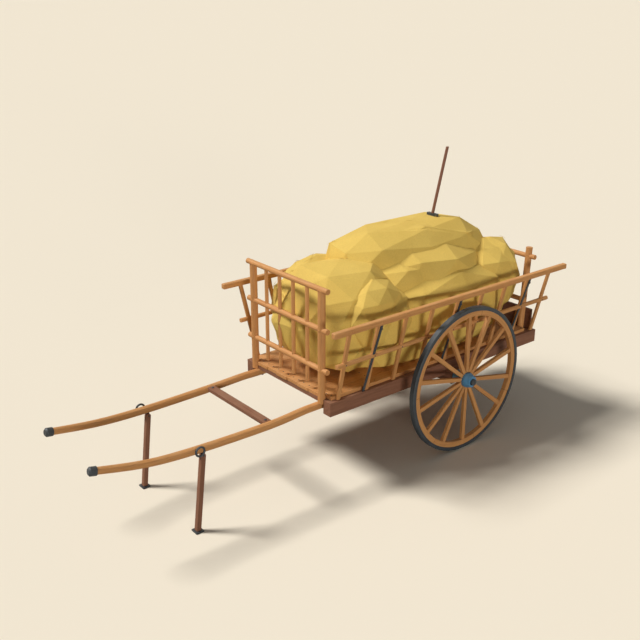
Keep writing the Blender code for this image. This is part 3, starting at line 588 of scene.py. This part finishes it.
# boards 2 to 7 are equally wide
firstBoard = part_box(boardNames[1])[0].x
boardPitch = (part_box(boardNames[6])[0].x - firstBoard) / 5.0
floorWood = boardWood("floorBoardWood", lightWood, firstBoard, boardPitch)
wheelWoods = {}
hubPaints = {}
for sideName, centre in wheelCentres.items():
    title = sideName.title()
    wheelWoods[sideName] = [
        wheelWood(part + "Wood" + title, lightWood, centre, part) for part in ("felloe", "spoke")]
    hubPaints[sideName] = paintMaterial("hubPaint" + title, paintLook, centre)
iron = ironMaterial("forgedIron", ironLook)
tyreIron = ironMaterial("tyreIron", tyreLook)
forkWood = straightWood("forkHandleWood", handleWood, "Z")
hayStraw = hayMaterial("hayStraw", hayLook)
print("materials ready")


# which finish every CAD node takes, with a choice by place where one node holds several members
def dress(nodeName, materials, choose=None):
    item = nodes[nodeName]
    mesh = item.data
    while len(mesh.materials) < len(materials):
        mesh.materials.append(None)
    for slotNumber, material in enumerate(materials):
        item.material_slots[slotNumber].material = material
    if choose:
        for face in mesh.polygons:
            face.material_index = choose(face.center)


# post and spindle faces 0, rail faces 1; a rail's faces lie close to its height
def chooseGate(railHeights):
    def choose(centre):
        onRail = any(abs(centre.z - height) < gateParts["railReach"] for height in railHeights)
        onPost = gateParts["postInside"] <= abs(centre.x) <= gateParts["postOutside"]
        return 1 if onRail and not onPost else 0
    return choose


# top rail and low rail run along Y, the slats lean
def chooseRack(side, topRail, lowRail):
    def choose(centre):
        fromLow = Vector((centre.x - side * lowRail[0], centre.z - lowRail[1])).length
        onTop = centre.z > topRail - rackParts["topReach"]
        return 1 if onTop or fromLow < rackParts["lowReach"] else 0
    return choose


# felloes 0, spokes 1
def chooseWheel(centre):
    def choose(place):
        fromHub = Vector((place.y - centre.y, place.z - centre.z)).length
        return 0 if fromHub > wheelParts["felloeInside"] else 1
    return choose


def dressNodes():
    for name in boardNames:
        dress(name, [floorWood])
    for gate, rises in gateParts["rises"].items():
        dress(gate, [lightWoods["Z"], lightWoods["X"]], chooseGate([sillTop + rise for rise in rises]))
    topRail = sillTop + rackParts["topRise"]
    lowHeight = sillTop + rackParts["lowRise"]
    lowRail = (rackX(lowHeight), lowHeight)
    for sideName, side in sides:
        dress("side_rack_" + sideName, [lightWoods["slat" + sideName.title()], lightWoods["Y"]],
              chooseRack(side, topRail, lowRail))
        dress("shaft_" + sideName, [lightWoods["Y"]])
        dress("sill_" + sideName, [darkWoods["Y"]])
        dress("prop_leg_" + sideName, [darkWoods["Z"]])
        dress("tyre_" + sideName, [tyreIron])
        dress("wheel_rim_" + sideName, wheelWoods[sideName], chooseWheel(wheelCentres[sideName]))
        dress("nave_" + sideName, [hubPaints[sideName]])
        for name in ("axle_arm_", "axle_nut_", "leg_tongue_", "prop_foot_", "ring_", "shaft_cap_"):
            dress(name + sideName, [iron])
        for number in (1, 2, 3):
            dress("stay_%s_%d" % (sideName, number), [iron])
    for name in crossMembers + ["cross_bar", "tail_board"]:
        dress(name, [darkWoods["X"]])
    dress("fork_handle", [forkWood])
    dress("fork_head", [iron])


dressNodes()
print("CAD nodes dressed")


# hay: the CAD heap with more forkfuls on it, all with flat facets
hayHeap = {
    # middle (x, y from the axle, z from the sills' top), half width, half length and half height,
    # turn in degrees and seed of the rough corners
    "forkfuls": (
        ((-0.04, 0.06, 0.94), (0.42, 0.94, 0.35), -6.0, 1),
        ((0.00, -0.98, 0.56), (0.56, 0.52, 0.48), 20.0, 8),
        ((0.44, -0.72, 0.55), (0.24, 0.34, 0.30), 25.0, 3),
        ((0.06, 0.16, 0.80), (0.52, 0.74, 0.34), 6.0, 4),
        ((0.30, 0.86, 0.66), (0.34, 0.32, 0.38), 12.0, 5),
        ((-0.40, -0.90, 0.64), (0.26, 0.36, 0.36), 8.0, 6),
    ),
    "square": 0.88,          # below 1 fills out the corners of a round lump
    "ragged": 0.08,          # how far a corner strays, as a share of the forkful's size
    "floorGap": 0.001,
    "rackGap": 0.034,        # between a forkful and the plane of the slats
    "gateGap": 0.037,
    "rearEnd": 1.195,        # from the axle
    "weld": 0.0005,
    "flatDegrees": 3.0,
    "cadWeld": 0.00005,
    "cadFlatDegrees": 1.0,
}


def selectNothing():
    if bpy.context.object and bpy.context.object.mode != "OBJECT":
        bpy.ops.object.mode_set(mode="OBJECT")
    bpy.ops.object.select_all(action="DESELECT")


def makeActive(item):
    selectNothing()
    item.select_set(True)
    bpy.context.view_layer.objects.active = item


# a copy of the CAD heap as a piece of its own, with its corners merged
def copyHeap():
    piece = bpy.data.objects.new("hayLoad", nodes["hay_heap"].data.copy())
    bpy.context.scene.collection.objects.link(piece)
    makeActive(piece)
    bpy.ops.object.mode_set(mode="EDIT")
    bpy.ops.mesh.select_all(action="SELECT")
    bpy.ops.mesh.remove_doubles(threshold=hayHeap["cadWeld"])
    bpy.ops.mesh.customdata_custom_splitnormals_clear()
    bpy.ops.mesh.dissolve_limited(angle_limit=math.radians(hayHeap["cadFlatDegrees"]))
    bpy.ops.object.mode_set(mode="OBJECT")
    return piece


def makeForkful(middle, size, turn, seed):
    selectNothing()
    x, y, z = middle
    bpy.ops.mesh.primitive_ico_sphere_add(
        subdivisions=2, radius=1.0, location=(x, axle.y + y, sillTop + z),
        rotation=(0.0, 0.0, math.radians(turn)))
    forkful = bpy.context.object
    chance = random.Random(seed)
    for corner in forkful.data.vertices:
        for part in range(3):
            squared = math.copysign(abs(corner.co[part]) ** hayHeap["square"], corner.co[part])
            corner.co[part] = squared + chance.uniform(-hayHeap["ragged"], hayHeap["ragged"])
    forkful.scale = size
    bpy.ops.object.transform_apply(location=True, rotation=True, scale=True)
    return forkful


# floor, gates and racks hold a forkful in
def holdForkful(forkful):
    for corner in forkful.data.vertices:
        place = corner.co
        place.z = max(place.z, floorTop + hayHeap["floorGap"])
        place.y = max(place.y, frontGateY + hayHeap["gateGap"])
        place.y = min(place.y, axle.y + hayHeap["rearEnd"])
        held = rackX(place.z) - hayHeap["rackGap"]
        place.x = max(-held, min(held, place.x))


# the CAD heap and the forkfuls on it become one skin with flat facets
def makeHay():
    forkfuls = [makeForkful(*values) for values in hayHeap["forkfuls"]]
    for forkful in forkfuls:
        holdForkful(forkful)
    hay = copyHeap()
    selectNothing()
    for forkful in forkfuls:
        forkful.select_set(True)
    hay.select_set(True)
    bpy.context.view_layer.objects.active = hay
    bpy.ops.object.join()
    bpy.ops.object.mode_set(mode="EDIT")
    bpy.ops.mesh.select_all(action="SELECT")
    bpy.ops.mesh.intersect_boolean(operation="UNION", use_self=True, solver="EXACT")
    bpy.ops.mesh.select_all(action="SELECT")
    bpy.ops.mesh.remove_doubles(threshold=hayHeap["weld"])
    bpy.ops.mesh.dissolve_limited(angle_limit=math.radians(hayHeap["flatDegrees"]))
    bpy.ops.mesh.quads_convert_to_tris()
    bpy.ops.mesh.normals_make_consistent(inside=False)
    bpy.ops.object.mode_set(mode="OBJECT")
    bpy.ops.object.shade_flat()
    hay.data.materials.clear()
    hay.data.materials.append(hayStraw)
    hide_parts("hay_heap")
    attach(hay, "cart")
    return hay


hayLoad = makeHay()
print("hay ready,", len(hayLoad.data.polygons), "faces")


# fastenings: nail, bolt and peg are modelled once each and copied to where a ray meets the wood
fastenings = {
    "nail": {"radius": 0.0060, "height": 0.0018, "sides": 8, "crown": 0.30},
    "bolt": {"radius": 0.0125, "height": 0.0050, "sides": 12, "crown": 0.34},
    "peg": {"radius": 0.0085, "height": 0.0030, "sides": 10, "crown": 0.22},
    "crownRise": 0.6,          # a head's dome, as shares of its height
    "tipRise": 0.2,
    "sink": 0.0005,            # how far a head is let in
    "boardShares": (0.24, 0.76),
    "boardEdge": 0.02,
    "slatFirst": -1.4235,      # slats along the rack, from the axle
    "slatStep": 0.339,
    "slatCount": 9,
    "slatRake": 0.052,         # how far a slat's top lies ahead of its foot
    "stayHeights": (0.07, 0.93),
    "stayLean": (0.15, 0.70),  # where its bolts lie along a stay's length: at the foot, and more with height
    "barInset": 0.035,
    "tailShares": (0.28, 0.74),
    "shaftX": 0.472,
    "above": 0.1,              # where the rays start
    "beside": 1.2,
    "beyond": 2.4,
    "below": 0.2,
}
surfaces = {}


def selectFaces(item, wanted):
    shape = bmesh.from_edit_mesh(item.data)
    for face in shape.faces:
        face.select_set(wanted(face.calc_center_median(), face.normal))
    bmesh.update_edit_mesh(item.data)


# where a ray meets a CAD node, and which way its surface faces there
def touch(nodeName, start, direction):
    if nodeName not in surfaces:
        mesh = nodes[nodeName].data
        faces = [face.vertices for face in mesh.polygons]
        surfaces[nodeName] = BVHTree.FromPolygons([corner.co for corner in mesh.vertices], faces)
    place, normal, _, _ = surfaces[nodeName].ray_cast(Vector(start), Vector(direction))
    if place is None:
        return None
    return place - normal * fastenings["sink"], normal


# a domed head standing on the origin
def makeHead(values):
    selectNothing()
    radius, height = values["radius"], values["height"]
    bpy.ops.mesh.primitive_cylinder_add(
        vertices=values["sides"], radius=radius, depth=height, location=(0.0, 0.0, height / 2.0))
    head = bpy.context.object
    bpy.ops.object.mode_set(mode="EDIT")
    bpy.ops.mesh.select_mode(type="FACE")
    bpy.ops.mesh.select_all(action="DESELECT")
    selectFaces(head, lambda middle, normal: normal.z > 0.9)
    bpy.ops.mesh.inset(thickness=radius * values["crown"])
    bpy.ops.transform.translate(value=(0.0, 0.0, height * fastenings["crownRise"]))
    bpy.ops.mesh.inset(thickness=radius * (1.0 - values["crown"]) * 0.5)
    bpy.ops.transform.translate(value=(0.0, 0.0, height * fastenings["tipRise"]))
    bpy.ops.object.mode_set(mode="OBJECT")
    return head


# copies of a model on the given places, as one piece; the model itself goes
def copyTo(model, places, pieceName, material, body, smoothDegrees=40.0):
    copies = []
    for place, turn in places:
        copy = model.copy()
        copy.data = model.data.copy()
        bpy.context.scene.collection.objects.link(copy)
        copy.matrix_world = Matrix.Translation(place) @ turn.to_4x4() @ model.matrix_world
        copies.append(copy)
    bpy.context.view_layer.update()
    selectNothing()
    for copy in copies:
        copy.select_set(True)
    bpy.context.view_layer.objects.active = copies[0]
    bpy.ops.object.join()
    piece = bpy.context.object
    bpy.ops.object.transform_apply(location=True, rotation=True, scale=True)
    bpy.ops.object.shade_smooth_by_angle(angle=math.radians(smoothDegrees))
    piece.name = pieceName
    piece.data.materials.clear()
    piece.data.materials.append(material)
    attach(piece, body)
    bpy.data.objects.remove(model, do_unlink=True)
    return piece


# spots are places with their normals, or None where a ray met nothing
def fasten(kind, spots, pieceName, material):
    places = [(spot[0], spot[1].to_track_quat("Z", "Y").to_matrix()) for spot in spots if spot]
    return copyTo(makeHead(fastenings[kind]), places, pieceName, material, "cart")


def floorNailSpots():
    lines = [middleOf(name).y for name in crossMembers]
    for name in boardNames:
        low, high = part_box(name)
        for line in lines:
            y = min(max(line, low.y + fastenings["boardEdge"]), high.y - fastenings["boardEdge"])
            for share in fastenings["boardShares"]:
                x = low.x + (high.x - low.x) * share
                yield touch(name, (x, y, high.z + fastenings["above"]), (0, 0, -1))


def slatSpots(rise):
    rake = fastenings["slatRake"] * rise / rackParts["topRise"]
    for sideName, side in sides:
        for number in range(fastenings["slatCount"]):
            y = axle.y + fastenings["slatFirst"] + number * fastenings["slatStep"] - rake
            start = (side * fastenings["beside"], y, sillTop + rise)
            yield touch("side_rack_" + sideName, start, (-side, 0, 0))


def gatePegSpots():
    for gate, rises in gateParts["rises"].items():
        outward = -1.0 if gate == "front_gate" else 1.0
        y = axle.y + outward * fastenings["beyond"]
        for rise in rises:
            for side in (-1.0, 1.0):
                yield touch(gate, (side * gateParts["postMiddle"], y, sillTop + rise), (0, -outward, 0))


def staySpots():
    foot, more = fastenings["stayLean"]
    for sideName, side in sides:
        for number in (1, 2, 3):
            name = "stay_%s_%d" % (sideName, number)
            low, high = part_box(name)
            for share in fastenings["stayHeights"]:
                y = low.y + (high.y - low.y) * (foot + more * share)
                z = low.z + (high.z - low.z) * share
                yield touch(name, (side * fastenings["beside"], y, z), (-side, 0, 0))


def bedBoltSpots():
    low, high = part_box("cross_bar")
    for x in (low.x + fastenings["barInset"], high.x - fastenings["barInset"]):
        yield touch("cross_bar", (x, (low.y + high.y) / 2, high.z + fastenings["above"]), (0, 0, -1))
    low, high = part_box("tail_board")
    for x in (-gateParts["postMiddle"], gateParts["postMiddle"]):
        for share in fastenings["tailShares"]:
            z = low.z + (high.z - low.z) * share
            yield touch("tail_board", (x, high.y + fastenings["above"], z), (0, -1, 0))
    for sideName, side in sides:
        for beam in ("front_beam", "front_bearer"):
            start = (side * fastenings["shaftX"], middleOf(beam).y, fastenings["below"])
            yield touch("shaft_" + sideName, start, (0, 0, 1))


def makeFastenings():
    fasten("nail", floorNailSpots(), "floorNails", iron)
    fasten("nail", slatSpots(rackParts["lowRise"]), "lowRailNails", iron)
    fasten("peg", slatSpots(rackParts["topRise"]), "topRailPegs", lightWoods["X"])
    fasten("peg", gatePegSpots(), "gatePegs", lightWoods["Y"])
    fasten("bolt", staySpots(), "stayBolts", iron)
    fasten("bolt", bedBoltSpots(), "bedBolts", iron)


makeFastenings()
print("fastenings ready")


# loose straws: one blade, bowed and tapered, strewn over the load
looseStraw = {
    "count": 150, "radius": 0.0014, "length": 0.13, "lift": 0.0006, "tilt": 0.16,
    "stretch": (0.5, 1.1), "seed": 12,
    "bow": 0.006, "bowDrop": 0.4, "taper": 0.55, "bends": (-0.25, 0.0, 0.25),
    # straws lie on faces that don't hang over, this far over the boards and in from the slats
    "lowestNormal": -0.1, "overFloor": 0.12, "fromSlats": 0.05,
}


def makeBlade():
    selectNothing()
    length, bow = looseStraw["length"], looseStraw["bow"]
    bpy.ops.mesh.primitive_cylinder_add(vertices=4, radius=looseStraw["radius"], depth=length,
                                        rotation=(0.0, quarter, 0.0), location=(0.0, 0.0, 0.0))
    blade = bpy.context.object
    bpy.ops.object.transform_apply(rotation=True)
    bpy.ops.object.mode_set(mode="EDIT")
    bpy.ops.mesh.select_mode(type="FACE")
    for bend in looseStraw["bends"]:
        bpy.ops.mesh.select_all(action="SELECT")
        bpy.ops.mesh.bisect(plane_co=(length * bend, 0.0, 0.0), plane_no=(1.0, 0.0, 0.0))
    shape = bmesh.from_edit_mesh(blade.data)
    for corner in shape.verts:
        share = abs(corner.co.x) / (length / 2.0)
        corner.co.yz *= 1.0 - looseStraw["taper"] * share ** 3
        corner.co.z += bow * (1.0 - share ** 2) - bow * looseStraw["bowDrop"]
    bmesh.update_edit_mesh(blade.data)
    bpy.ops.object.mode_set(mode="OBJECT")
    return blade


def takesStraw(corner):
    place = corner.co
    hangs = corner.normal.z < looseStraw["lowestNormal"]
    low = place.z < floorTop + looseStraw["overFloor"]
    return not (hangs or low or abs(place.x) > rackX(place.z) - looseStraw["fromSlats"])


def strewStraws(load):
    chance = random.Random(looseStraw["seed"])
    tilt = looseStraw["tilt"]
    places = []
    corners = load.data.vertices
    while len(places) < looseStraw["count"]:
        corner = corners[chance.randrange(len(corners))]
        if not takesStraw(corner):
            continue
        turn = corner.normal.to_track_quat("Z", "Y").to_matrix()
        turn = turn @ Matrix.Rotation(chance.uniform(0.0, math.pi), 3, "Z")
        turn = turn @ Matrix.Rotation(chance.uniform(-tilt, tilt), 3, "Y")
        stretch = Matrix.Diagonal((chance.uniform(*looseStraw["stretch"]), 1.0, 1.0))
        places.append((corner.co + corner.normal * looseStraw["lift"], turn @ stretch))
    copyTo(makeBlade(), places, "looseStraws", hayStraw, "cart", 60.0)


strewStraws(hayLoad)
print("loose straws ready")
